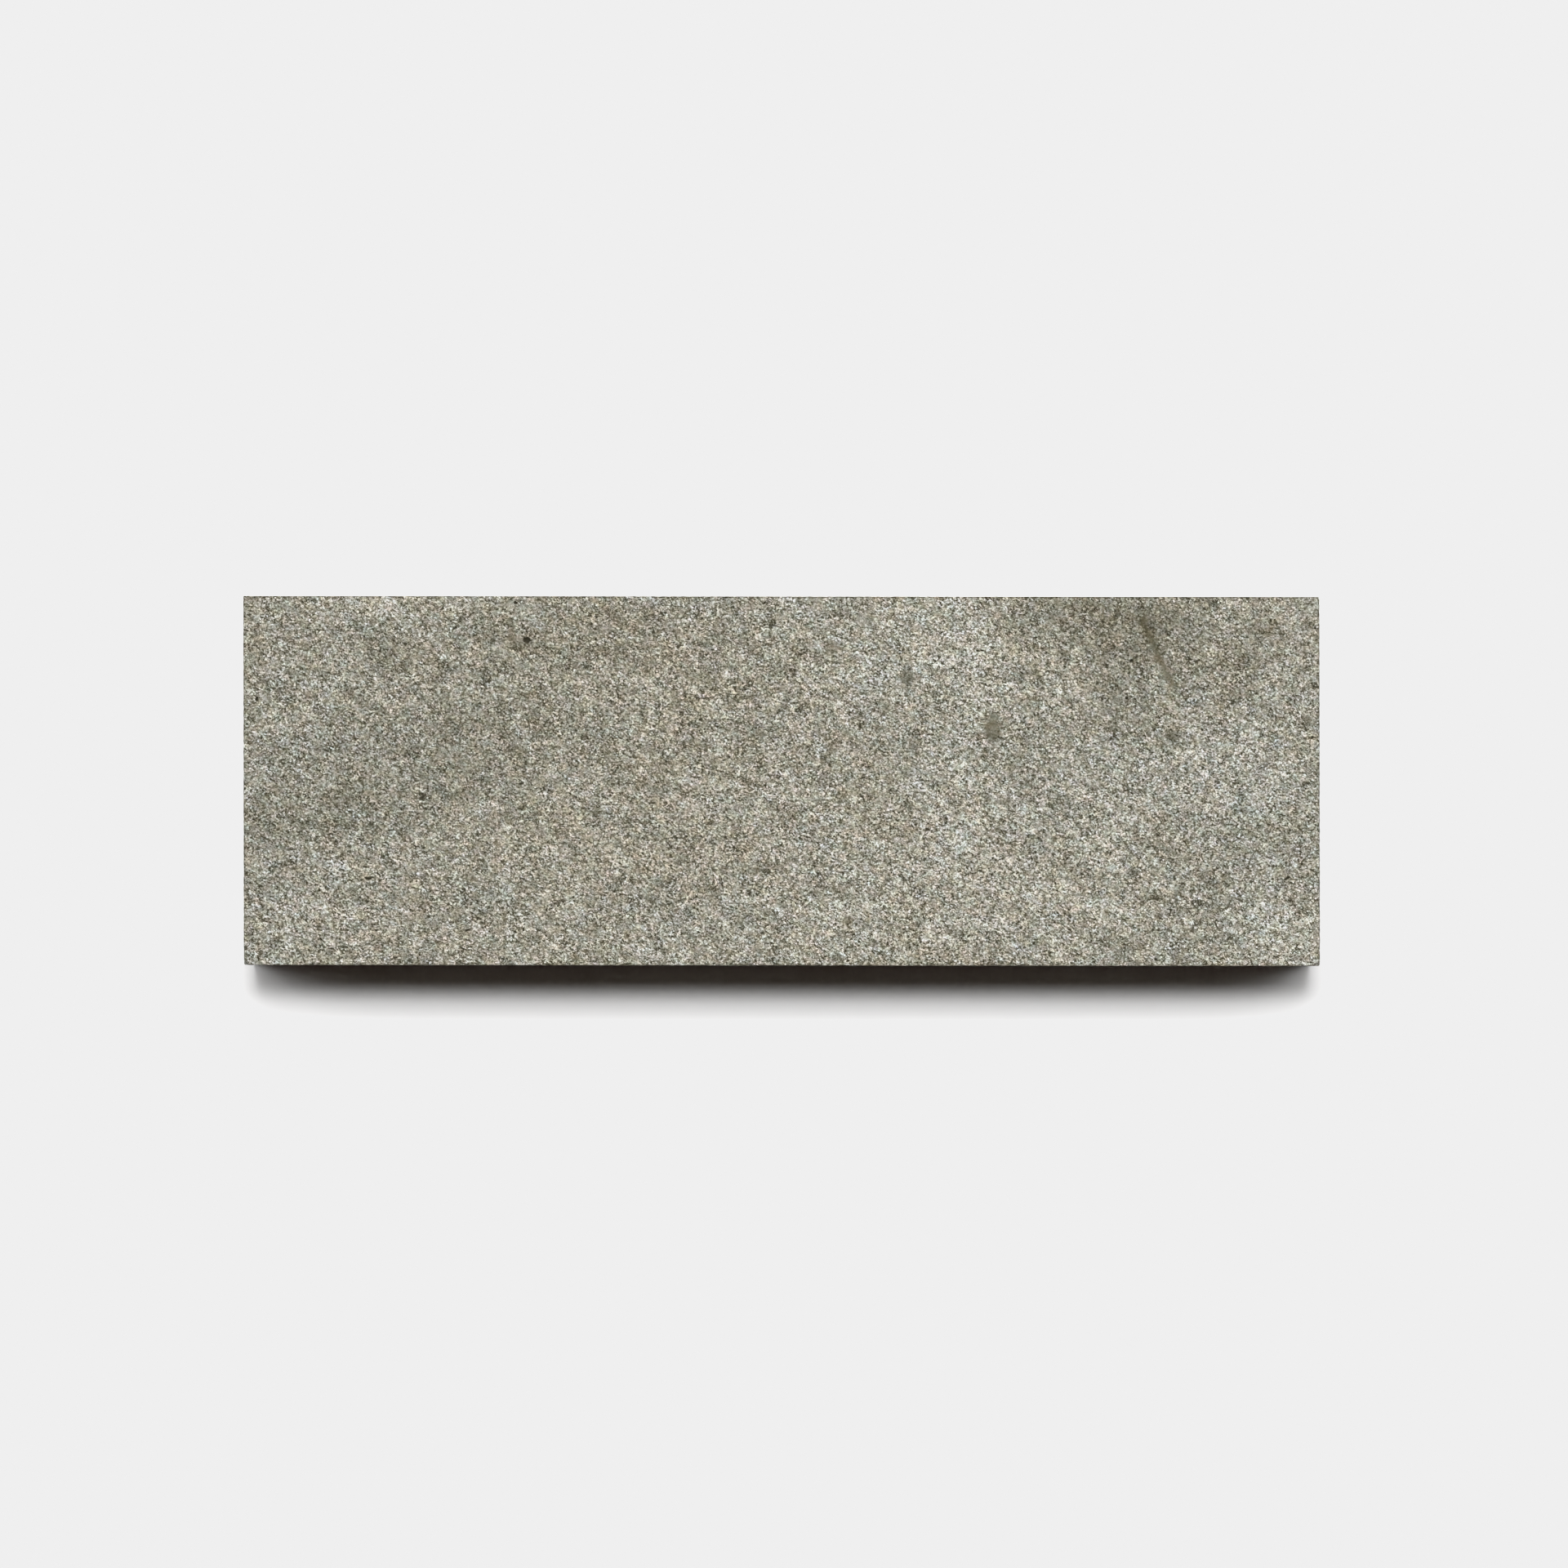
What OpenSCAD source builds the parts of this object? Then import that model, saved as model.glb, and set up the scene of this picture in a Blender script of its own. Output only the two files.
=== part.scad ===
// Bench whetstone: one rectangular slab of natural stone, sawn to size and lapped flat.
//
// Frame, in millimetres: the origin is on the resting face, under the middle of the slab.
// +X runs along the slab, +Y across it and +Z up to the working face.

/* [Slab] */
// Length of the slab, from end to end
stone_length = 175; // [120:1:250]
// Width of the working face
stone_width = 60; // [40:1:90]
// Thickness, from the resting face up to the working face
stone_thickness = 20; // [12:0.5:40]

/* [Arrises] */
// Leg of the small bevel rubbed round both faces, so that a sharp arris doesn't crumble
face_bevel = 0.3; // [0.1:0.05:1]
// Leg of the small bevel on the four upright corners
corner_bevel = 0.25; // [0.1:0.05:1]

/* [Corner chips] */
// Radius of the shell-shaped break at a knocked corner
corner_chip_radius = 2.4; // [1.5:0.1:4]
// Depth of the break at the front right corner of the working face
right_chip_depth = 0.75; // [0.3:0.05:1.2]
// Depth of the break at the front left corner of the working face
left_chip_depth = 0.6; // [0.3:0.05:1.2]

/* [Edge nicks] */
// Nicks along each long edge of each face
long_edge_nicks = 6; // [0:1:12]
// Nicks along each short edge of each face
short_edge_nicks = 2; // [0:1:5]
// Smallest radius of a nick's scoop
nick_radius_min = 0.7; // [0.5:0.05:1]
// Largest radius of a nick's scoop
nick_radius_max = 1.3; // [1.1:0.05:2]
// Depth of the deepest nick, measured in from the bevel
nick_depth_max = 0.22; // [0.1:0.01:0.4]
// Seed that scatters the nicks
nick_seed = 29; // [1:1:999]

/* [Hidden] */
// Facets round each ball that cuts a chip or a nick
$fn = 48;
// Grey-green of the stone as a whole
stone_colour = [0.56, 0.55, 0.50];

half_length = stone_length / 2;
half_width = stone_width / 2;
// Distance from a sharp edge in to the middle of its bevel
bevel_setback = face_bevel / sqrt(2);
// Depth of the shallowest nick
nick_depth_min = nick_depth_max / 3;
// Plain length kept between an edge's outermost nick and the corner
nick_margin = 6;
// How far the cutting profiles run past the slab
overrun = 1;
// Ways out of the stone at the two chipped corners: most of each break faces the front
right_chip_outward = [0.4, -1, 0.9];
left_chip_outward = [-0.6, -1, 0.8];
// Steps between the seeds of the long edges, the short edges and the two faces
long_edge_seed_step = 10;
short_edge_seed_step = 20;
face_seed_step = 100;

function unit(v) = v / norm(v);

// A rectangle centred on the origin, with its four corners cut back at 45 degrees by one leg.
module bevelled_rectangle(size, leg) {
    x = size[0] / 2;
    y = size[1] / 2;
    polygon([
        [x, leg - y], [x, y - leg],
        [x - leg, y], [leg - x, y],
        [-x, y - leg], [-x, leg - y],
        [leg - x, -y], [x - leg, -y]
    ]);
}

// The outline seen from above, through the whole thickness.
module plan_profile() {
    translate([0, 0, -overrun])
        linear_extrude(stone_thickness + 2 * overrun)
            bevelled_rectangle([stone_length, stone_width], corner_bevel);
}

// The outline seen from the front, through the whole width.
module front_profile() {
    translate([0, half_width + overrun, stone_thickness / 2])
        rotate([90, 0, 0])
            linear_extrude(stone_width + 2 * overrun)
                bevelled_rectangle([stone_length, stone_thickness], face_bevel);
}

// The outline seen from an end, through the whole length.
module end_profile() {
    translate([-half_length - overrun, 0, stone_thickness / 2])
        rotate([90, 0, 90])
            linear_extrude(stone_length + 2 * overrun)
                bevelled_rectangle([stone_width, stone_thickness], face_bevel);
}

// The slab with an even bevel along every edge, before any knocks.
module bevelled_slab() {
    intersection() {
        plan_profile();
        front_profile();
        end_profile();
    }
}

// A ball that bites to the given depth at a point, from the side that outward points to.
module scoop(at, outward, depth, radius) {
    translate(at + unit(outward) * (radius - depth))
        sphere(r = radius);
}

// Nicks scattered along one edge. The edge's middle is at mid, it runs along the unit vector
// along, and outward points away from the stone, halfway between the edge's two faces.
module edge_nicks(mid, along, outward, edge_length, count, seed) {
    reach = edge_length / 2 - nick_margin;
    places = rands(-reach, reach, count + 1, seed);
    radii = rands(nick_radius_min, nick_radius_max, count + 1, seed + 1);
    depths = rands(nick_depth_min, nick_depth_max, count + 1, seed + 2);
    for (i = [0 : 1 : count - 1])
        scoop(mid + along * places[i], outward, bevel_setback + depths[i], radii[i]);
}

// Nicks on the four edges of one face: side is 1 for the working face, -1 for the resting face.
module face_nicks(side, seed) {
    z = side > 0 ? stone_thickness : 0;
    for (way = [-1, 1]) {
        edge_nicks([0, way * half_width, z], [1, 0, 0], [0, way, side],
                   stone_length, long_edge_nicks, seed + long_edge_seed_step * way);
        edge_nicks([way * half_length, 0, z], [0, 1, 0], [way, 0, side],
                   stone_width, short_edge_nicks, seed + short_edge_seed_step * way);
    }
}

// The two front corners of the working face, knocked off in use.
module corner_chips() {
    scoop([half_length, -half_width, stone_thickness], right_chip_outward,
          right_chip_depth, corner_chip_radius);
    scoop([-half_length, -half_width, stone_thickness], left_chip_outward,
          left_chip_depth, corner_chip_radius);
}

// The whole object: one solid piece of stone.
module stone() {
    color(stone_colour)
        difference() {
            bevelled_slab();
            corner_chips();
            face_nicks(1, nick_seed);
            face_nicks(-1, nick_seed + face_seed_step);
        }
}

stone();
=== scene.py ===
# %% [markdown]
# # A bench whetstone cut from natural stone
# The object is one block of rock: a slab sawn out of a quartz-rich bed, then lapped flat on
# its two large faces. It has no holder and no moving part, so the whole lesson is about one
# closed mesh and one kind of stone in two finishes, lapped and sawn.
# The CAD model gives the size and the place of the slab. Blender adds what the CAD leaves
# out: worn arrises, nicks, pits, saw marks, and the speckle of the rock.

# %% Load the frame
import math
import random

import bmesh
import bpy
import numpy as np
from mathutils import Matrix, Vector, noise


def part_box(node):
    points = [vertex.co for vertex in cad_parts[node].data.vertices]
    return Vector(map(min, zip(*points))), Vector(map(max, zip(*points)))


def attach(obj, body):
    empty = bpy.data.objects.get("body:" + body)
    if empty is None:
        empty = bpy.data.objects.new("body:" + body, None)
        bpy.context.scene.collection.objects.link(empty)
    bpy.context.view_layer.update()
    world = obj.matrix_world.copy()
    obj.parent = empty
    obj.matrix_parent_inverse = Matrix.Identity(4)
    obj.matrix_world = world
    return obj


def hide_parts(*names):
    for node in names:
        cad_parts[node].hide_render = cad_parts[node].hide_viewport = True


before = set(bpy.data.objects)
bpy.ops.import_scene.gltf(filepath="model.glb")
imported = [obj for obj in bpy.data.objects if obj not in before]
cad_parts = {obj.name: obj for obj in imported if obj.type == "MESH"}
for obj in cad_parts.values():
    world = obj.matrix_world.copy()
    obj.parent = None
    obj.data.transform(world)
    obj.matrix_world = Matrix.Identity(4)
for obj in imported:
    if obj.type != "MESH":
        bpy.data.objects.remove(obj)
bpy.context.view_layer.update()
MM = 0.001
low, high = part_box("stone")
SIZE = np.array(high - low) / MM
CENTRE = np.array(high + low) / 2 / MM
HALF = SIZE / 2
TOP = high.z / MM
print("slab in mm:", SIZE.round(2), "centre:", CENTRE.round(2))

# %% [markdown]
# ## Camera
# The stone is seen square on from straight above, through a long lens: the slab is about
# 20 mm thick and its base looks only 2 percent smaller than its top. A camera a little over
# a metre up gives that. The lens follows from how much of the table it has to take in.

# %% Camera
CAMERA_TO_TOP = 1123.0
VIEW_WIDTH = 1.4555 * SIZE[0]
SENSOR = 36.0
CAMERA_ASIDE = (0.39, -0.49)
CAMERA_ROLL = 0.001

camera_data = bpy.data.cameras.new("camera")
camera_data.sensor_width = SENSOR
camera_data.lens = SENSOR * CAMERA_TO_TOP / VIEW_WIDTH
camera = bpy.data.objects.new("camera", camera_data)
camera.location = (CAMERA_ASIDE[0] * MM, CAMERA_ASIDE[1] * MM, (TOP + CAMERA_TO_TOP) * MM)
camera.rotation_euler = (0.0, 0.0, CAMERA_ROLL)
bpy.context.scene.collection.objects.link(camera)
bpy.context.scene.camera = camera
print("lens in mm:", round(camera_data.lens, 1))

# %% [markdown]
# ## Light
# The shadow falls only towards the front edge. It starts hard at the base, fades over about
# 7 mm, and has soft round ends. So the real light is a long soft box that hangs above and
# behind the stone and reaches far to both sides. A row of broad suns stands in for it:
# suns light the whole table evenly, which keeps the background one plain tone in every
# view. Each sun is placed by where it would hang over the table, one unit above it.
# Together they light the table past white. The section on exposure says why.

# %% A long soft box behind the stone
PALE = 0.863
TABLE_ALBEDO = 0.95
PALE_SHARE = 0.70
# sideways, back, width of the disc in degrees, share of the light on the table
SUNS = (
    (0.0, 0.26, 11.0, 0.260), (0.0, 0.48, 26.0, 0.300),
    (-0.45, 0.44, 22.0, 0.110), (0.45, 0.44, 22.0, 0.120),
    (-0.9, 0.44, 20.0, 0.085), (0.85, 0.44, 20.0, 0.075),
    (-1.5, 0.43, 16.0, 0.022), (1.5, 0.43, 16.0, 0.015),
    (-2.3, 0.42, 10.0, 0.006), (2.3, 0.42, 10.0, 0.005),
)

table_light = math.pi * PALE / (TABLE_ALBEDO * PALE_SHARE)
for number, (sideways, back, width, share) in enumerate(SUNS):
    towards_sun = Vector((sideways, back, 1.0)).normalized()
    sun_data = bpy.data.lights.new(f"sun_{number}", "SUN")
    sun_data.angle = math.radians(width)
    sun_data.energy = table_light * share / towards_sun.z
    sun = bpy.data.objects.new(f"sun_{number}", sun_data)
    sun.rotation_euler = towards_sun.to_track_quat("Z", "Y").to_euler()
    bpy.context.scene.collection.objects.link(sun)
print("light on the table:", round(table_light, 2), "shares:", round(sum(sun[3] for sun in SUNS), 2))

# %% [markdown]
# ## Table and room
# The table is plain, pale and matt. The room beyond it gives very little light, or the
# shadow would be washed out, but it has to look pale where a low view sees past the table.
# So the world shows one tone to the camera and gives another to everything else.

# %% Table and room
ROOM_FILL = (0.009, 0.003, 0.003)
TABLE_REACH = 30.0
TABLE_ROUGHNESS = 0.95


def new_material(name):
    material = bpy.data.materials.new(name)
    material.use_nodes = True
    return material, material.node_tree.nodes


table_mesh = bpy.data.meshes.new("table")
corners = [(x * TABLE_REACH, y * TABLE_REACH, low.z) for x, y in ((-1, -1), (1, -1), (1, 1), (-1, 1))]
table_mesh.from_pydata(corners, [], [(0, 1, 2, 3)])
table = bpy.data.objects.new("table", table_mesh)
bpy.context.scene.collection.objects.link(table)
table_material, nodes = new_material("pale_table")
nodes["Principled BSDF"].inputs["Base Color"].default_value = (TABLE_ALBEDO,) * 3 + (1.0,)
nodes["Principled BSDF"].inputs["Roughness"].default_value = TABLE_ROUGHNESS
nodes["Principled BSDF"].inputs["Specular IOR Level"].default_value = 0.0
table_mesh.materials.append(table_material)

world = bpy.data.worlds.new("room")
world.use_nodes = True
bpy.context.scene.world = world
nodes, links = world.node_tree.nodes, world.node_tree.links
seen = nodes["Background"]
seen.inputs["Color"].default_value = (PALE, PALE, PALE, 1.0)
fill = nodes.new("ShaderNodeBackground")
fill.inputs["Color"].default_value = ROOM_FILL + (1.0,)
path = nodes.new("ShaderNodeLightPath")
choose = nodes.new("ShaderNodeMixShader")
links.new(path.outputs["Is Camera Ray"], choose.inputs["Fac"])
links.new(fill.outputs["Background"], choose.inputs[1])
links.new(seen.outputs["Background"], choose.inputs[2])
links.new(choose.outputs["Shader"], nodes["World Output"].inputs["Surface"])

# %% [markdown]
# ## Exposure
# The table is lit past white, and everything brighter than the pale tone is held at that
# tone. This is how a catalogue picture gets an even background: only a real shadow is dark
# enough to show on it. The stone is darker than that, so it isn't touched.

# %% Hold the highlights at the pale tone
view = bpy.context.scene.view_settings
view.view_transform = "Standard"
view.look = "None"
view.use_curve_mapping = True
tone_curve = view.curve_mapping.curves[3]
tone_curve.points.new(PALE, PALE)
tone_curve.points[-1].location = (1.0, PALE)
for point in tone_curve.points:
    point.handle_type = "VECTOR"
view.curve_mapping.extend = "HORIZONTAL"
view.curve_mapping.update()

# %% [markdown]
# ## Marks on the stone
# Each real block has its own marks, placed here in millimetres from the middle of the
# working face: small open pits, one brown vein with its stain, a few round dark spots, and
# the broad pale and dark clouds. The shape and the colour both use them.
# The clouds and tints aren't a design by hand: most of their strengths, and the places of a
# few, are the rounded results of a least-squares fit by another program.

# %% Pits, spots, vein and clouds
# x, y, half of its run along x and y (none for a round pit), radius, depth
PITS = (
    (-41.4, 22.9, 0.20, -0.05, 0.38, 0.30), (-85.3, 13.3, 0.05, 0.15, 0.19, 0.22),
    (-43.2, 28.9, 0.10, 0.00, 0.18, 0.20), (56.9, 19.6, 0.00, 0.00, 0.25, 0.30),
    (56.1, 13.5, 0.00, 0.00, 0.22, 0.30), (68.4, 8.4, 0.00, 0.00, 0.18, 0.20),
    (86.3, 7.2, 0.00, 0.00, 0.17, 0.20), (86.8, 24.9, 0.00, 0.00, 0.17, 0.20),
    (60.8, -28.9, 0.00, 0.00, 0.20, 0.22), (82.2, -15.7, 0.32, 0.16, 0.14, 0.16),
    (-67.2, -15.9, 0.42, -0.03, 0.15, 0.18), (-51.1, -24.3, 0.25, 0.08, 0.15, 0.12),
    (-42.0, -24.2, 0.00, 0.12, 0.14, 0.16), (32.3, -14.6, 0.08, 0.00, 0.16, 0.16),
    (32.3, 21.2, 0.50, 0.02, 0.13, 0.15),
)
# x, y, half width, half height, strength
SPOTS = (
    (34.3, 8.2, 1.35, 1.8, 1.0), (34.6, 10.5, 0.9, 0.5, 0.8), (20.3, 16.9, 1.3, 1.4, 0.7),
    (8.2, 21.7, 1.1, 0.9, 0.5), (10.7, -22.6, 0.8, 0.7, 0.5), (-6.1, -22.3, 0.9, 0.7, 0.45),
    (-4.1, -14.5, 1.2, 0.4, 0.5), (63.5, 7.3, 1.0, 0.6, 0.9), (15.9, 8.7, 0.8, 0.3, 0.5),
    (59.2, 25.4, 1.9, 1.7, 0.12),
)
# The vein's course, from the back edge inwards: x, y
VEIN = (
    (58.9, 26.4), (59.2, 24.7), (60.0, 23.4), (60.8, 21.8),
    (61.5, 20.2), (62.0, 18.7), (62.9, 17.0), (63.9, 15.4),
)
VEIN_HALF_WIDTH = 0.60
# x, y, half width, half height, tone (positive is paler)
CLOUDS = (
    (24, 26, 10, 7, 0.50), (13, 18, 8, 4, 0.45), (31, 18, 6, 6, 0.35), (44, 16, 4, 4, 0.25),
    (28, -8, 7, 7, 0.50), (42, -17, 6, 8, 0.25), (54, -7, 5, 9, 0.40), (72, 2, 10, 7, 0.45),
    (80, -22, 6, 6, 0.65), (-65, 29, 6, 4, 0.70), (-76, -23, 8, 6, 0.40), (-1, 28, 3, 3, 0.45),
    (22, -22, 12, 8, 0.55), (0, -4, 8, 8, 0.40), (32, 10, 5, 7, 0.50), (82, 8, 6, 8, 0.15),
    (48, 27, 11, 4, -0.65), (61, 25, 6, 7, -0.65), (78, 23, 4, 5, -0.65), (55, 12, 6, 7, -0.60),
    (-44, 24, 7, 6, -0.55), (-25, 24, 8, 5, -0.35), (-64, 21, 5, 4, -0.60), (13, 28, 3, 3, -0.45),
    (-54, 4, 15, 9, -0.50), (-70, -4, 4, 4, -0.35), (-84, -8, 6, 10, -0.40), (-21, 0, 4, 4, -0.45),
    (-31, -27, 3, 3, -0.40), (60, -8, 3, 4, -0.45), (9, 4, 3, 3, -0.35), (30, 27, 5, 4, 0.40),
)
# x, y, half width, half height, warmth (positive is browner, negative is bluer)
TINTS = (
    (-20, 14, 12, 8, 0.60), (20, -25, 9, 5, 0.50), (-32, 26, 9, 6, 0.35), (-38, -12, 14, 4, 0.20),
    (-20, -8, 14, 10, 0.45), (38, 20, 3, 3, 1.00), (82, -24, 6, 7, -0.50), (60, -6, 3, 2, 0.80),
    (12, -8, 4, 4, 0.50), (-80, 0, 12, 28, -0.25), (70, -4, 18, 12, -0.60), (30, 10, 6, 12, -0.25),
)
print(len(PITS), "pits,", len(SPOTS), "spots,", len(CLOUDS), "clouds,", len(TINTS), "tints")

# %% [markdown]
# ## The block
# A slab with crisp, slightly crumbled arrises needs many small faces along its edges and
# few in the middle of its faces. So the mesh starts as an even grid on a box, and only the
# faces near an edge or a mark are halved, up to three times. Quads halved this way share
# their corners with their neighbours, so the skin stays closed.

# %% A grid on the box
CELL = 1.25


def gridded_box(half, cell):
    """A closed box from -half to half, with every face cut into cells of about one size."""
    bm = bmesh.new()
    bmesh.ops.create_cube(bm, size=2.0)
    for vert in bm.verts:
        vert.co = Vector(half * np.array(vert.co))
    for axis in range(3):
        cuts = round(2 * half[axis] / cell) - 1
        along = [e for e in bm.edges if abs(e.verts[0].co[axis] - e.verts[1].co[axis]) > cell]
        bmesh.ops.subdivide_edges(bm, edges=along, cuts=cuts, use_grid_fill=True)
    return bm


block = gridded_box(HALF, CELL)
print("grid faces:", len(block.faces))

# %% Smaller faces near the edges and the marks
# one row per halving: how near an edge, a spot or the vein, and a pit a face has to be
REACHES = ((2.8, 2.6, 1.5), (1.2, 1.3, 1.1), (0.55, 0.0, 0.8), (0.0, 0.0, 0.5))
# stands in for the length of a run that is only a point
TINY = 1e-9


def edge_distance(points):
    """How far points on the box's skin are from its nearest edge."""
    gaps = np.sort(HALF - np.abs(points), axis=1)
    return gaps[:, 1]


def run_distance(places, start, end):
    """How far each place is from the straight run between two places, measured flat."""
    start, run = np.array(start), np.array(end) - np.array(start)
    along = np.clip(((places[:, :2] - start) @ run) / max(run @ run, TINY), 0, 1)
    return np.linalg.norm(places[:, :2] - start - along[:, None] * run, axis=1)


def vein_distance(places):
    """How far each place is from the vein's course."""
    return np.min([run_distance(places, a, b) for a, b in zip(VEIN, VEIN[1:])], axis=0)


def pit_distance(places, pit):
    """How far each place is from the middle line of a pit."""
    x, y, run_x, run_y = pit[:4]
    return run_distance(places, (x - run_x, y - run_y), (x + run_x, y + run_y))


def on_working_face(places):
    return places[:, 2] > HALF[2] - CELL / 8


for edge_reach, mark_reach, pit_reach in REACHES:
    faces = list(block.faces)
    middles = np.array([f.calc_center_median() for f in faces])
    to_spot = np.linalg.norm(middles[:, None, :2] - np.array([s[:2] for s in SPOTS]), axis=2).min(axis=1)
    to_mark = np.minimum(to_spot, vein_distance(middles))
    to_pit = np.min([pit_distance(middles, pit) for pit in PITS], axis=0)
    near_mark = on_working_face(middles) & ((to_mark < mark_reach) | (to_pit < pit_reach))
    wanted = (edge_distance(middles) < edge_reach) | near_mark
    edges = {e for face, use in zip(faces, wanted) if use for e in face.edges}
    bmesh.ops.subdivide_edges(block, edges=list(edges), cuts=1, use_grid_fill=True)
bmesh.ops.triangulate(block, faces=list(block.faces))
flat = np.array([v.co for v in block.verts])
print("triangles:", len(block.faces), "points:", len(flat))

# %% [markdown]
# ## Worn arrises
# A sharp stone edge crumbles, so the maker rubs it round, and use rounds it more, never
# evenly. Each point near an edge is pulled onto a small quarter round. Its radius
# wanders along the edge, which gives the uneven bright and dark line of a real arris.

# %% Helpers that vary over the stone
def wander(points, size, shift):
    """A smooth random value from about -1 to 1 at each point. Its lumps are size mm across.

    The shift only picks another part of the same noise."""
    offset = Vector((shift, -shift, 2 * shift))
    return np.array([noise.noise(Vector(p) / size + offset) for p in points])


def to_share(values):
    """Moves values from the range -1 to 1 into the range 0 to 1."""
    return 0.5 + 0.5 * values


def fade(distance, reach):
    """1 at no distance, falling smoothly to 0 well past reach."""
    return np.exp(-(distance / reach) ** 2)


# %% Round the arrises
ARRIS_RADIUS = 0.18
ARRIS_UNEVEN = 0.30

radius = ARRIS_RADIUS * (1 + ARRIS_UNEVEN * wander(flat, 5.0, 3.1) + ARRIS_UNEVEN * wander(flat, 1.4, 7.7))
radius = radius[:, None]
core = np.clip(flat, radius - HALF, HALF - radius)
outward = flat - core
outward /= np.linalg.norm(outward, axis=1)[:, None]
points = core + outward * radius
to_edge = edge_distance(flat)
print("arris radius in mm:", radius.min().round(2), "to", radius.max().round(2))

# %% [markdown]
# ## Relief
# The lapped faces are flat to a few hundredths of a millimetre. The sawn sides carry
# shallow ridges from the blade, and the arrises have lost grains here and there. All of it
# is cut inwards from the box, so the block never grows past its true size.

# %% Lapped faces, saw marks and lost grains
LAP_RELIEF = 0.02
SAW_RELIEF = 0.05
SAW_PITCH = 1.6
SAW_SLOPE = 0.35
SAW_BOW = 0.012
SAW_WAVER = 0.5
GRAIN_LOSS = 0.10
FINE_LOSS_SHARE = 0.5
LOSS_BAND = 0.5

on_side = 1 - np.abs(outward[:, 2])
long_side = np.abs(outward[:, 1]) > np.abs(outward[:, 0])
travel = np.where(long_side, flat[:, 0], flat[:, 1])
ridge = travel + SAW_SLOPE * flat[:, 2] + SAW_BOW * flat[:, 2] ** 2
ridge = ridge + SAW_WAVER * wander(flat, 9.0, 12.4)
saw = to_share(np.sin(2 * math.pi * ridge / SAW_PITCH))
saw = saw * to_share(wander(flat, 14.0, 5.5))
lap = to_share(wander(flat, 16.0, 1.3))
crumbs = np.clip(wander(flat, 0.8, 21.0) + FINE_LOSS_SHARE * wander(flat, 0.4, 33.0), 0, 1)
depth = LAP_RELIEF * lap * (1 - on_side) + SAW_RELIEF * saw * on_side
depth = depth + GRAIN_LOSS * crumbs * fade(to_edge, LOSS_BAND)
points = points - outward * depth[:, None]

# %% [markdown]
# ## Nicks, chips and pits
# A knock breaks a shell-shaped flake out of an edge. It is cut by a ball: every point
# inside the ball is pushed back to the ball's surface, and a little unevenness in its
# radius keeps the break from looking moulded. A soft grain that fell out leaves a pit in
# the working face, so there the points simply sink, steeply at the rim.

# %% Scoops
NICKS_PER_EDGE = (16, 6)
NICK_DEPTHS = (0.03, 0.25)
NICK_BALLS = (0.5, 1.3)
NICK_TILTS = (0.5, 1.6)
# above 1, shallow nicks are commoner than deep ones
NICK_RARITY = 2.5
CORNER_MARGIN = 2.0
# corner of the box, the way out of the stone there, depth, radius of the ball
CORNER_CHIPS = (
    ((1, -1, 1), (0.4, -1, 0.9), 0.75, 2.4),
    ((-1, -1, 1), (-0.6, -1, 0.8), 0.60, 2.4),
)
SCOOP_UNEVEN = 0.12
random.seed(29)
scoop_list = []


def add_scoop(at, out, cut_depth, ball):
    """A ball that bites cut_depth deep at a point, from the side that out points to."""
    out = np.array(out, float) / np.linalg.norm(out)
    scoop_list.append((np.array(at, float) + out * (ball - cut_depth), ball))


def add_nick(along, face_side, way):
    """A nick somewhere on the edge that runs along axis 0 or 1, mostly a shallow one."""
    across = 1 - along
    at = [0.0, 0.0, face_side * HALF[2]]
    at[along] = random.uniform(-1, 1) * (HALF[along] - CORNER_MARGIN)
    at[across] = way * HALF[across]
    out = [0.0, 0.0, face_side * random.uniform(*NICK_TILTS)]
    out[across] = way
    bite = NICK_DEPTHS[0] + (NICK_DEPTHS[1] - NICK_DEPTHS[0]) * random.random() ** NICK_RARITY
    add_scoop(at, out, ARRIS_RADIUS * (math.sqrt(2) - 1) + bite, random.uniform(*NICK_BALLS))


for face_side in (1, -1):
    for way in (1, -1):
        for along, count in enumerate(NICKS_PER_EDGE):
            for _ in range(count):
                add_nick(along, face_side, way)
for at, out, cut_depth, ball in CORNER_CHIPS:
    add_scoop(HALF * at, out, cut_depth, ball)

uneven = 1 + SCOOP_UNEVEN * wander(flat, 0.7, 41.0)
for middle, ball in scoop_list:
    away = points - middle
    reach = np.linalg.norm(away, axis=1)
    inside = reach < ball * uneven
    stretch = (ball * uneven[inside] / reach[inside])[:, None]
    points[inside] = middle + away[inside] * stretch
for pit in PITS:
    radius, pit_depth = pit[4:]
    hollow = np.clip(1 - (pit_distance(flat, pit) / (radius * uneven)) ** 2, 0, 1)
    points[:, 2] -= np.where(on_working_face(flat), pit_depth * np.sqrt(hollow), 0)
print("scoops:", len(scoop_list), "pits:", len(PITS))

# %% [markdown]
# ## Out of square
# The saw left the slab a little out of square: its front edge sits about 0.16 mm further
# right than its back edge. The lean is taken out of the length, to stay inside the box.
# Last, the rims of the two corner chips are smoothed a little, so that no face folds over.

# %% Lean, then make the mesh
LEAN = 0.0026
RIM_REACH = 2.6
RIM_PASSES = 3

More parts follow.
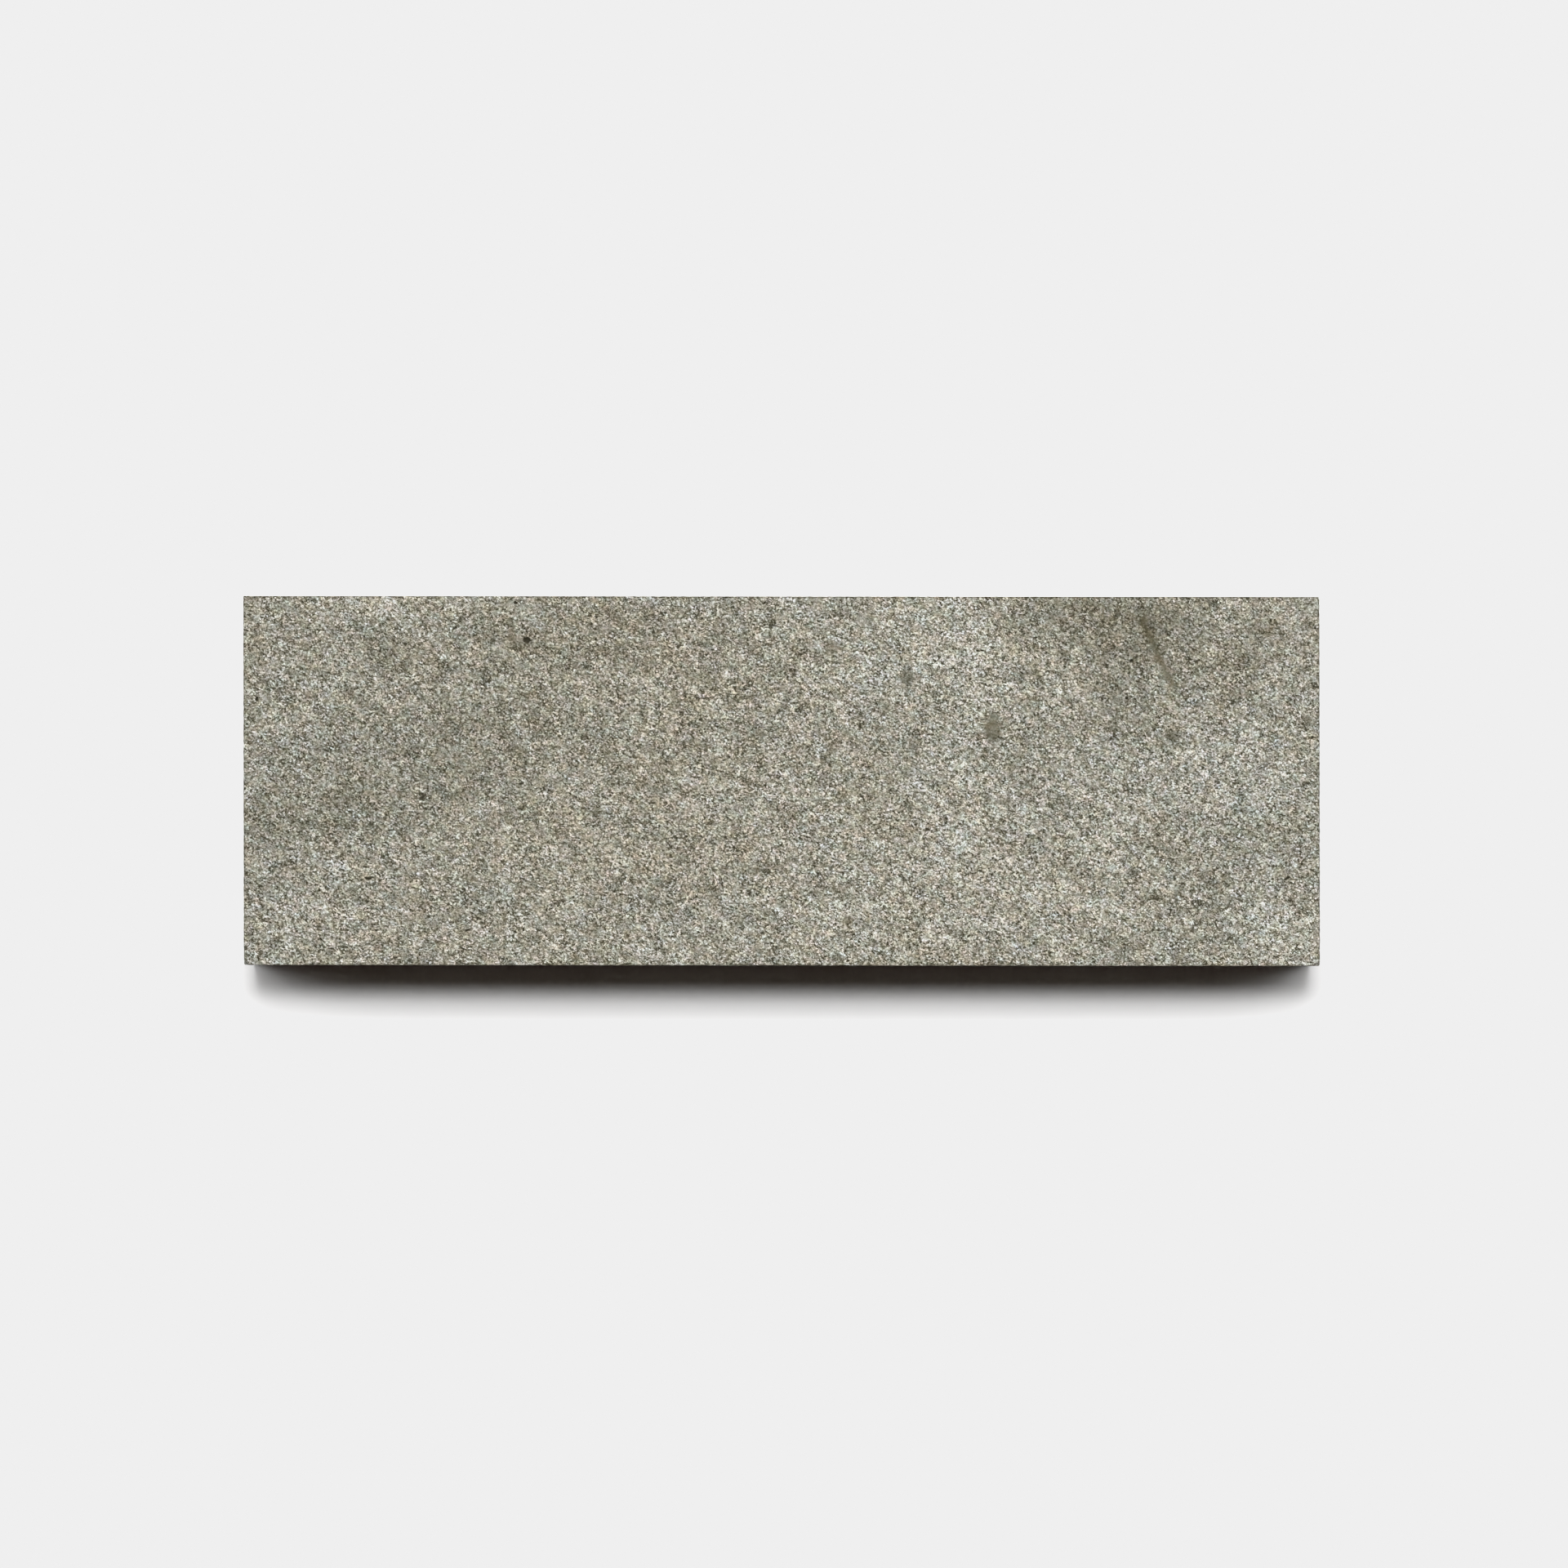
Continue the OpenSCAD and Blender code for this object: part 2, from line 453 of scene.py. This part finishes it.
overhang = LEAN * HALF[1]
points[:, 0] *= (HALF[0] - overhang) / HALF[0]
points[:, 0] -= LEAN * points[:, 1]
points = points + CENTRE
for vert, place in zip(block.verts, points):
    vert.co = Vector(place * MM)
chipped_corners = np.array([HALF * at for at, *_ in CORNER_CHIPS])
to_corner = np.linalg.norm(flat[:, None] - chipped_corners, axis=2).min(axis=1)
rims = [vert for vert, distance in zip(block.verts, to_corner) if distance < RIM_REACH]
for _ in range(RIM_PASSES):
    bmesh.ops.smooth_vert(block, verts=rims, factor=0.5, use_axis_x=True, use_axis_y=True, use_axis_z=True)
stone_mesh = bpy.data.meshes.new("whetstone")
bmesh.ops.recalc_face_normals(block, faces=list(block.faces))
block.to_mesh(stone_mesh)
block.free()
stone = bpy.data.objects.new("whetstone", stone_mesh)
bpy.context.scene.collection.objects.link(stone)
stone_mesh.polygons.foreach_set("use_smooth", [True] * len(stone_mesh.polygons))
print("size in mm:", (np.array(stone.dimensions) / MM).round(3))

# %% [markdown]
# ## Painted marks
# The marks placed above are stored on the mesh as named values at its points. The stone's
# materials read them, so a spot or a cloud follows the surface in every view. They fade
# out below the working face: lower down, the rock's own mottling takes over. Painted shade
# makes a thin dark line along the arrises, weaker at the front, where the rounded arris already faces away
# from the light.

# %% Store the marks on the mesh
MARK_DEPTH = 7.0
SMALL_MARK_DEPTH = 1.0
PIT_DARK_REACH = 1.5
VEIN_RAGGED = 0.9
SPOT_FULLNESS = 2.2
SPOT_FALLOFF = 1.4
# the arris mark is painted shade: a thin dark line along every arris
ARRIS_REACH = 0.22
FRONT_ARRIS_SHADE = 0.3
FRONT_BAND = 1.0


def store(name, values):
    layer = stone_mesh.attributes.new(name, "FLOAT", "POINT")
    layer.data.foreach_set("value", np.asarray(values, np.float32))


def blotches(table_of_blotches, fullness=1.0, falloff=0.7):
    """The sum of soft ovals, each (x, y, half width, half height, strength).

    With fullness above 1, an oval is even in the middle and fades only near its rim."""
    total = np.zeros(len(flat))
    for x, y, half_width, half_height, strength in table_of_blotches:
        spread = ((flat[:, 0] - x) / half_width) ** 2 + ((flat[:, 1] - y) / half_height) ** 2
        total += strength * np.clip(fullness * np.exp(-falloff * spread), 0, 1)
    return total


below = fade(HALF[2] - flat[:, 2], MARK_DEPTH)
near_top = fade(HALF[2] - flat[:, 2], SMALL_MARK_DEPTH)
# a pit is painted near black: partly dirt, partly painted shade in its hollow
pit_dirt_and_shade = np.zeros(len(flat))
for pit in PITS:
    pit_dirt_and_shade = np.maximum(pit_dirt_and_shade, np.clip(PIT_DARK_REACH - pit_distance(flat, pit) / pit[4], 0, 1))
store("cloud", blotches(CLOUDS) * below)
store("tint", blotches(TINTS) * below)
store("spot", np.clip(blotches(SPOTS, SPOT_FULLNESS, SPOT_FALLOFF), 0, 1) * near_top)
ragged = VEIN_HALF_WIDTH * (1 + VEIN_RAGGED * wander(flat, 1.1, 51.0))
store("vein", fade(vein_distance(flat), ragged) * below)
store("pit", pit_dirt_and_shade * near_top)
# painted shade along the arrises, weaker along the front, where the rounded arris already faces away from the
# light
arris_shade_share = np.where(flat[:, 1] > -HALF[1] + FRONT_BAND, 1.0, FRONT_ARRIS_SHADE)
store("arris", fade(to_edge, ARRIS_REACH) * arris_shade_share)
print("stored:", [a.name for a in stone_mesh.attributes if a.name[0] != "."])

# %% [markdown]
# ## How the rock's speckle is built
# The rock is a felt of quartz, feldspar and mica grains a quarter to half a millimetre
# long, lying roughly one way in thin beds. Its speckle isn't one noise. It is a stack:
# packed crystals with crisp borders, soft lumps, thin threads between them, dark mica
# flakes, clumps of grains with dark seams, a few dark specks, and a few pale grains with a
# painted glint. Lumps of larger sizes then make it patchy. Each effect is one node group in
# millimetres, and each is used several times with other sizes, so that both finishes are made of the same
# rock.

# %% Helpers for node trees
class Tree:
    """Adds nodes to a node tree and wires them. Each value may be a socket or a number."""

    def __init__(self, tree):
        self.nodes, self.links = tree.nodes, tree.links

    def node(self, kind, values=None, **settings):
        made = self.nodes.new(kind)
        for name, value in settings.items():
            setattr(made, name, value)
        for name, value in (values or {}).items():
            self.feed(made.inputs[name], value)
        return made

    def feed(self, socket, value):
        if isinstance(value, bpy.types.NodeSocket):
            self.links.new(value, socket)
        else:
            socket.default_value = value

    def math(self, operation, *values):
        return self.node("ShaderNodeMath", dict(enumerate(values)), operation=operation).outputs[0]

    def vector(self, operation, *values, **named):
        inputs = dict(enumerate(values)) | named
        return self.node("ShaderNodeVectorMath", inputs, operation=operation).outputs["Vector"]

    def add_up(self, *values):
        total = values[0]
        for value in values[1:]:
            total = self.math("ADD", total, value)
        return total

    def smooth(self, value, start, end):
        """0 at start, 1 at end, and a soft step between them."""
        inputs = {"Value": value, "From Min": start, "From Max": end}
        return self.node("ShaderNodeMapRange", inputs, interpolation_type="SMOOTHSTEP").outputs["Result"]

    def packed_cells(self, place, size):
        """Cells of one size: how far a place is from its cell's middle, and the cell's picks."""
        scale = self.math("DIVIDE", 1.0, size)
        cells = self.node("ShaderNodeTexVoronoi", {"Vector": place, "Scale": scale})
        picks = self.node("ShaderNodeSeparateColor", {0: cells.outputs["Color"]}).outputs
        return cells.outputs["Distance"], picks

    def use(self, group, **values):
        made = self.node("ShaderNodeGroup", node_tree=group)
        for name, value in values.items():
            self.feed(made.inputs[name.replace("_", " ").capitalize()], value)
        return made.outputs

    def stored(self, name):
        return self.node("ShaderNodeAttribute", attribute_name=name).outputs["Fac"]


def new_group(name, inputs, outputs):
    """A node group with named sockets: inputs {name: default}, outputs {name: kind}."""
    group = bpy.data.node_groups.new(name, "ShaderNodeTree")
    for label, default in inputs.items():
        kind = "NodeSocketVector" if isinstance(default, tuple) else "NodeSocketFloat"
        group.interface.new_socket(label, in_out="INPUT", socket_type=kind).default_value = default
    for label, kind in outputs.items():
        group.interface.new_socket(label, in_out="OUTPUT", socket_type=kind)
    tree = Tree(group)
    return group, tree, tree.node("NodeGroupInput").outputs, tree.node("NodeGroupOutput").inputs


# %% Rock space: millimetres along the grain
GRAIN_TILT = math.radians(-20)
GRAIN_STRETCH = (1.2, 1.0, 0.62)

rock_space, tree, _, result = new_group("rock_space", {}, {"Point": "NodeSocketVector"})
place = tree.node("ShaderNodeTexCoord").outputs["Object"]
turned = tree.node("ShaderNodeVectorRotate", {"Vector": place, "Angle": -GRAIN_TILT}, rotation_type="Z_AXIS")
per_mm = tuple(1 / (MM * stretch) for stretch in GRAIN_STRETCH)
tree.feed(result["Point"], tree.vector("MULTIPLY", turned.outputs[0], per_mm))

# %% Lumps: soft random patches of one size, about -1 to 1. Wiggle curls them into threads
# brings the noise, and below the random picks, to about -1 to 1
NOISE_GAIN = 7.0
PICK_GAIN = 3.4

lumps, tree, given, result = new_group(
    "lumps",
    {"Point": (0.0, 0.0, 0.0), "Size": 1.0, "Wiggle": 0.0, "Strength": 1.0, "Shift": 0.0},
    {"Value": "NodeSocketFloat"},
)
pattern = tree.node(
    "ShaderNodeTexNoise",
    {"Vector": tree.vector("ADD", given["Point"], given["Shift"]),
     "Scale": tree.math("DIVIDE", 1.0, given["Size"]),
     "Detail": 1.0, "Roughness": 0.5, "Distortion": given["Wiggle"]},
)
signed = tree.math("SUBTRACT", pattern.outputs["Fac"], 0.5)
gain = tree.math("MULTIPLY", given["Strength"], NOISE_GAIN)
tree.feed(result["Value"], tree.math("MULTIPLY", signed, gain))

# %% Threads: thin wandering lines, broken into short lengths
BREAKS_PER_MM = 1.1
BREAK_STEP = (0.42, 0.58)

threads, tree, given, result = new_group(
    "threads",
    {"Point": (0.0, 0.0, 0.0), "Size": 1.0, "Wiggle": 1.0, "Width": 0.05, "Shift": 0.0},
    {"Mask": "NodeSocketFloat"},
)
shifted = tree.vector("ADD", given["Point"], given["Shift"])
pattern = tree.node(
    "ShaderNodeTexNoise",
    {"Vector": shifted, "Scale": tree.math("DIVIDE", 1.0, given["Size"]),
     "Detail": 0.0, "Distortion": given["Wiggle"]},
)
from_line = tree.math("ABSOLUTE", tree.math("SUBTRACT", pattern.outputs["Fac"], 0.5))
line = tree.smooth(from_line, given["Width"], 0.0)
breaks = tree.node("ShaderNodeTexNoise", {"Vector": shifted, "Scale": BREAKS_PER_MM, "Detail": 0.0})
kept = tree.smooth(breaks.outputs["Fac"], *BREAK_STEP)
tree.feed(result["Mask"], tree.math("MULTIPLY", line, kept))

# %% Crystals: packed grains with crisp borders, each with its own tone
crystals, tree, given, result = new_group(
    "crystals",
    {"Point": (0.0, 0.0, 0.0), "Size": 0.3, "Strength": 1.0},
    {"Value": "NodeSocketFloat", "Pick": "NodeSocketFloat"},
)
_, picks = tree.packed_cells(given["Point"], given["Size"])
signed = tree.math("SUBTRACT", picks[0], 0.5)
gain = tree.math("MULTIPLY", given["Strength"], PICK_GAIN)
tree.feed(result["Value"], tree.math("MULTIPLY", signed, gain))
tree.feed(result["Pick"], picks[1])

# %% Mica: thin dark flakes seen edge on, lying along the beds
FLAKE_BENDS_PER_MM = 1.3
FLAKE_BEND = (1.6, 1.6, 1.6)
FLAKE_RIM = (0.5, 0.2)

mica, tree, given, result = new_group(
    "mica",
    {"Point": (0.0, 0.0, 0.0), "Length": 1.0, "Slimness": 3.5, "Share": 0.2},
    {"Mask": "NodeSocketFloat"},
)
slim = tree.node("ShaderNodeCombineXYZ", {"X": 1.0, "Y": given["Slimness"], "Z": given["Slimness"]})
drawn_out = tree.vector("MULTIPLY", given["Point"], slim.outputs[0])
wavy = tree.node("ShaderNodeTexNoise", {"Vector": given["Point"], "Scale": FLAKE_BENDS_PER_MM, "Detail": 1.0})
bent = tree.vector("MULTIPLY_ADD", wavy.outputs["Color"], FLAKE_BEND, drawn_out)
distance, picks = tree.packed_cells(bent, given["Length"])
chosen = tree.math("LESS_THAN", picks[0], given["Share"])
solid = tree.smooth(distance, *FLAKE_RIM)
tree.feed(result["Mask"], tree.math("MULTIPLY", chosen, solid))

# %% Clumps: rounded patches of grains, with thin dark borders between some of them
CLUMP_BENDS_PER_MM = 1.6
CLUMP_BEND = (0.9, 0.9, 0.9)
SEAM_BREAKS_PER_MM = 0.9
SEAM_BREAK_STEP = (0.4, 0.6)

clumps, tree, given, result = new_group(
    "clumps",
    {"Point": (0.0, 0.0, 0.0), "Size": 1.0, "Border": 0.1},
    {"Value": "NodeSocketFloat", "Border": "NodeSocketFloat"},
)
wavy = tree.node("ShaderNodeTexNoise", {"Vector": given["Point"], "Scale": CLUMP_BENDS_PER_MM, "Detail": 1.0})
bent = tree.vector("MULTIPLY_ADD", wavy.outputs["Color"], CLUMP_BEND, given["Point"])
_, picks = tree.packed_cells(bent, given["Size"])
packing = {"Vector": bent, "Scale": tree.math("DIVIDE", 1.0, given["Size"])}
borders = tree.node("ShaderNodeTexVoronoi", packing, feature="DISTANCE_TO_EDGE")
thin = tree.smooth(borders.outputs["Distance"], given["Border"], 0.0)
breaks = tree.node("ShaderNodeTexNoise", {"Vector": bent, "Scale": SEAM_BREAKS_PER_MM, "Detail": 1.0})
kept = tree.smooth(breaks.outputs["Fac"], *SEAM_BREAK_STEP)
tree.feed(result["Value"], tree.math("MULTIPLY", tree.math("SUBTRACT", picks[0], 0.5), PICK_GAIN))
tree.feed(result["Border"], tree.math("MULTIPLY", thin, kept))

# %% Specks: scattered single grains, some pale with a painted glint, some dark
SPECK_RIM = (0.45, 0.2)

specks, tree, given, result = new_group(
    "specks",
    {"Point": (0.0, 0.0, 0.0), "Size": 0.5, "Share": 0.1},
    {"Pale": "NodeSocketFloat", "Dark": "NodeSocketFloat"},
)
distance, picks = tree.packed_cells(given["Point"], given["Size"])
dot = tree.smooth(distance, *SPECK_RIM)
for label, pick in (("Pale", picks[0]), ("Dark", picks[1])):
    chosen = tree.math("LESS_THAN", pick, given["Share"])
    tree.feed(result[label], tree.math("MULTIPLY", chosen, dot))

# %% [markdown]
# ## From tone to colour
# All those layers add up to one number, the tone, where 0 is the middle grey of the stone
# and 1 is a clearly paler grain. A colour ramp turns it into the stone's own scale, from
# greenish black through warm grey to cream. Two faint tints, brown against blue and green
# against pink, lie over it, because the grains are several minerals.

# %% Colour of the stone for each tone
MID_GREY = 148.1
TONE_STEP = 27.8
HUE_SHIFT = (7.5, 4.2, -11.7)
HUE_FADE = 0.06
TONE_REACH = 4.0
RAMP_STOPS = 9
ALBEDO_SHARE = PALE_SHARE * TABLE_ALBEDO / PALE
WARM_TINT = (0.040, 0.000, -0.046)
GREEN_TINT = (-0.016, 0.016, -0.016)


def linear(level):
    """Light for an sRGB screen level from 0 to 255."""
    level = min(max(level, 0.0), 255.0) / 255.0
    return level / 12.92 if level <= 0.04045 else ((level + 0.055) / 1.055) ** 2.4


stone_colour, tree, given, result = new_group(
    "stone_colour",
    {"Tone": 0.0, "Warmth": 0.0, "Greenness": 0.0},
    {"Color": "NodeSocketColor"},
)
ramp_place = tree.node(
    "ShaderNodeMapRange",
    {"Value": given["Tone"], "From Min": -TONE_REACH, "From Max": TONE_REACH},
)
ramp = tree.node("ShaderNodeValToRGB", {"Fac": ramp_place.outputs["Result"]})
stops = ramp.color_ramp.elements
for i in range(1, RAMP_STOPS - 1):
    stops.new(i / (RAMP_STOPS - 1))
for stop in stops:
    tone = TONE_REACH * (2 * stop.position - 1)
    levels = [MID_GREY + TONE_STEP * tone + shift * (1 - HUE_FADE * tone) for shift in HUE_SHIFT]
    stop.color = [linear(level) * ALBEDO_SHARE for level in levels] + [1.0]
print("stops of the ramp:", [round(stop.position, 3) for stop in stops])
warm = tree.vector("SCALE", WARM_TINT, Scale=given["Warmth"])
green = tree.vector("SCALE", GREEN_TINT, Scale=given["Greenness"])
factor = tree.vector("ADD", tree.vector("ADD", warm, green), (1.0, 1.0, 1.0))
tree.feed(result["Color"], tree.vector("MULTIPLY", ramp.outputs["Color"], factor))

# %% [markdown]
# ## Two finishes of one rock
# The large faces are lapped: flat, matt and evenly speckled. The sides are as the saw left
# them: a little darker and rougher, with the beds showing as faint lines. One function
# builds both from the same groups and only the numbers differ.

# %% How strongly each layer shows
# size in mm, wiggle, strength
FINE_LAYERS = ((0.26, 1.3, 1.80), (0.55, 1.5, 0.42))
BROAD_LAYERS = ((1.6, 0.6, 0.22), (4.5, 0.4, 0.21), (13.0, 0.4, 0.10))
BEDS_DRAWN_OUT = (0.05, 0.05, 1.0)
BED_THICKNESS = 1.1
GRAINS = {"size": 0.24, "strength": 1.3}
FLAKES = {"length": 0.9, "slimness": 3.0, "share": 0.14}
BOOKS = {"length": 2.6, "slimness": 1.6, "share": 0.10}
PALE_THREADS = {"size": 0.9, "wiggle": 1.2, "width": 0.05, "shift": 90.0}
DARK_THREADS = {"size": 1.2, "wiggle": 1.2, "width": 0.05, "shift": 110.0}
PATCHES = {"size": 1.1, "border": 0.12}
SPECK_SIZE = 0.45
SPECK_SHARE = 0.05
# how much a full cloud adds to the share of specks and to the contrast
CLOUD_SPECKS = 0.08
CLOUD_CONTRAST = 0.2
# size in mm, strength, shift
CONTRAST_LUMPS = (2.0, 0.22, 130.0)
SPOT_LUMPS = (0.7, 0.10, 140.0)
WARM_LUMPS = ((1.2, 0.85, 50.0), (5.0, 0.30, 60.0))
GREEN_LUMPS = (1.3, 0.9, 70.0)
VEIN_WARMTH = 1.2
BOOK_WARMTH = -1.0
VEIN_GREENNESS = 0.6
STONE_SPECULAR = 0.35
# the shifts only pick other parts of the same noise
FINE_SHIFT, BED_SHIFT, BROAD_SHIFT, SHIFT_STEP = 0.0, 3.0, 30.0, 10.0
# the tone each effect adds where it is full
TONES = {
    "patch": 0.25, "border": -1.5, "pale thread": 0.8, "dark thread": -0.8,
    "flake": -1.1, "book": -0.75, "dark speck": -1.8,
    # the pit tone is partly dirt, partly painted shade in the hollow
    "spot": -2.1, "vein": -1.15, "pit": -5.5, "arris": -1.5,
}
# a pale speck, a pale grain with a painted glint, isn't added: it lifts what lies under it up to one tone
PALE_SPECK_AND_GLINT_TONE = 3.5
NO_SPECK_TONE = -6.0
# how much of the speckle the vein and the spots drown out
MARK_COVER = -0.75
ROUGHNESS_SPREAD = (-0.12, 0.10)
print("effects:", ", ".join(TONES))

# %% The stone's materials
def stone_finish(name, contrast, tone_shift, bed_strength, bump_depth, roughness):
    """The stone with one finish. The bump depth is in mm."""
    material, material_nodes = new_material(name)
    tree = Tree(material.node_tree)
    shader = material_nodes["Principled BSDF"]
    point = tree.use(rock_space)["Point"]

    def lump(size, strength, shift, wiggle=0.4, point=point):
        made = tree.use(lumps, point=point, size=size, wiggle=wiggle, strength=strength, shift=shift)
        return made["Value"]

    def layer_up(layers, first_shift):
        return [
            lump(size, strength, first_shift + SHIFT_STEP * i, wiggle)
            for i, (size, wiggle, strength) in enumerate(layers)
        ]

    def toned(mask, effect):
        return tree.math("MULTIPLY", mask, TONES[effect])

    cloud, vein, tint = tree.stored("cloud"), tree.stored("vein"), tree.stored("tint")
    grains = tree.use(crystals, point=point, **GRAINS)
    flakes = tree.use(mica, point=point, **FLAKES)["Mask"]
    books = tree.use(mica, point=point, **BOOKS)["Mask"]
    pale_threads = tree.use(threads, point=point, **PALE_THREADS)["Mask"]
    dark_threads = tree.use(threads, point=point, **DARK_THREADS)["Mask"]
    patches = tree.use(clumps, point=point, **PATCHES)
    speck_share = tree.math("MULTIPLY_ADD", cloud, CLOUD_SPECKS, SPECK_SHARE)
    dots = tree.use(specks, point=point, size=SPECK_SIZE, share=speck_share)
    drawn_out = tree.vector("MULTIPLY", point, BEDS_DRAWN_OUT)
    beds = lump(BED_THICKNESS, bed_strength, BED_SHIFT, 0.0, drawn_out)

    fine = tree.add_up(
        grains["Value"], *layer_up(FINE_LAYERS, FINE_SHIFT),
        toned(patches["Value"], "patch"), toned(patches["Border"], "border"),
        toned(pale_threads, "pale thread"), toned(dark_threads, "dark thread"),
        toned(flakes, "flake"), toned(dots["Dark"], "dark speck"),
    )
    # pale specks: pale grains with a painted glint
    lift = {"Value": dots["Pale"], "To Min": NO_SPECK_TONE, "To Max": PALE_SPECK_AND_GLINT_TONE}
    fine = tree.math("MAXIMUM", fine, tree.node("ShaderNodeMapRange", lift).outputs["Result"])
    patchy = tree.add_up(contrast, lump(*CONTRAST_LUMPS), tree.math("MULTIPLY", cloud, CLOUD_CONTRAST))
    speckle = tree.add_up(
        tree.math("MULTIPLY", fine, patchy), toned(books, "book"), *layer_up(BROAD_LAYERS, BROAD_SHIFT)
    )
    spot = tree.math("MULTIPLY", tree.stored("spot"), tree.math("ADD", 1.0, lump(*SPOT_LUMPS)))
    evenness = tree.math("MULTIPLY_ADD", tree.math("MAXIMUM", vein, spot), MARK_COVER, 1.0)
    tone = tree.add_up(
        tree.math("MULTIPLY", speckle, evenness), beds, cloud, tone_shift,
        toned(spot, "spot"), toned(vein, "vein"),
        # the arris tone is painted shade
        toned(tree.stored("pit"), "pit"), toned(tree.stored("arris"), "arris"),
    )
    warmth = tree.add_up(
        *(lump(*layer) for layer in WARM_LUMPS), tint,
        tree.math("MULTIPLY", vein, VEIN_WARMTH), tree.math("MULTIPLY", books, BOOK_WARMTH),
    )
    greenness = tree.math("MULTIPLY_ADD", vein, VEIN_GREENNESS, lump(*GREEN_LUMPS))
    colour = tree.use(stone_colour, tone=tone, warmth=warmth, greenness=greenness)["Color"]
    tree.feed(shader.inputs["Base Color"], colour)
    polish = {"Value": grains["Pick"]}
    polish |= {"To Min": roughness + ROUGHNESS_SPREAD[0], "To Max": roughness + ROUGHNESS_SPREAD[1]}
    tree.feed(shader.inputs["Roughness"], tree.node("ShaderNodeMapRange", polish).outputs["Result"])
    bump = tree.node("ShaderNodeBump", {"Height": fine, "Distance": bump_depth * MM})
    tree.feed(shader.inputs["Normal"], bump.outputs["Normal"])
    shader.inputs["Specular IOR Level"].default_value = STONE_SPECULAR
    return material


LAPPED = {"contrast": 1.0, "tone_shift": 0.0, "bed_strength": 0.10, "bump_depth": 0.008, "roughness": 0.80}
SAWN = {"contrast": 0.9, "tone_shift": -0.25, "bed_strength": 0.45, "bump_depth": 0.020, "roughness": 0.88}
stone_mesh.materials.append(stone_finish("lapped_stone", **LAPPED))
stone_mesh.materials.append(stone_finish("sawn_stone", **SAWN))
print("materials:", [material.name for material in stone_mesh.materials])

# %% Which faces the saw left
STEEPEST_LAPPED = 0.70
ARRIS_BAND = 0.3


def of_faces(what):
    """One vector for each face of the mesh, such as its normal or its center."""
    values = np.zeros(len(stone_mesh.polygons) * 3, np.float32)
    stone_mesh.polygons.foreach_get(what, values)
    return values.reshape(-1, 3)


upright = np.abs(of_faces("normal")[:, 2]) < STEEPEST_LAPPED
below_arris = np.abs(of_faces("center")[:, 2] / MM - CENTRE[2]) < HALF[2] - ARRIS_BAND
sawn = upright & below_arris
stone_mesh.polygons.foreach_set("material_index", sawn.astype(np.int32))
print("sawn faces:", int(sawn.sum()), "of", len(sawn))

# %% [markdown]
# ## Hand over
# The whetstone rides on the part's only body, and stands for its only CAD node.

# %% Ride, replace and finish
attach(stone, "root")
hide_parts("stone")
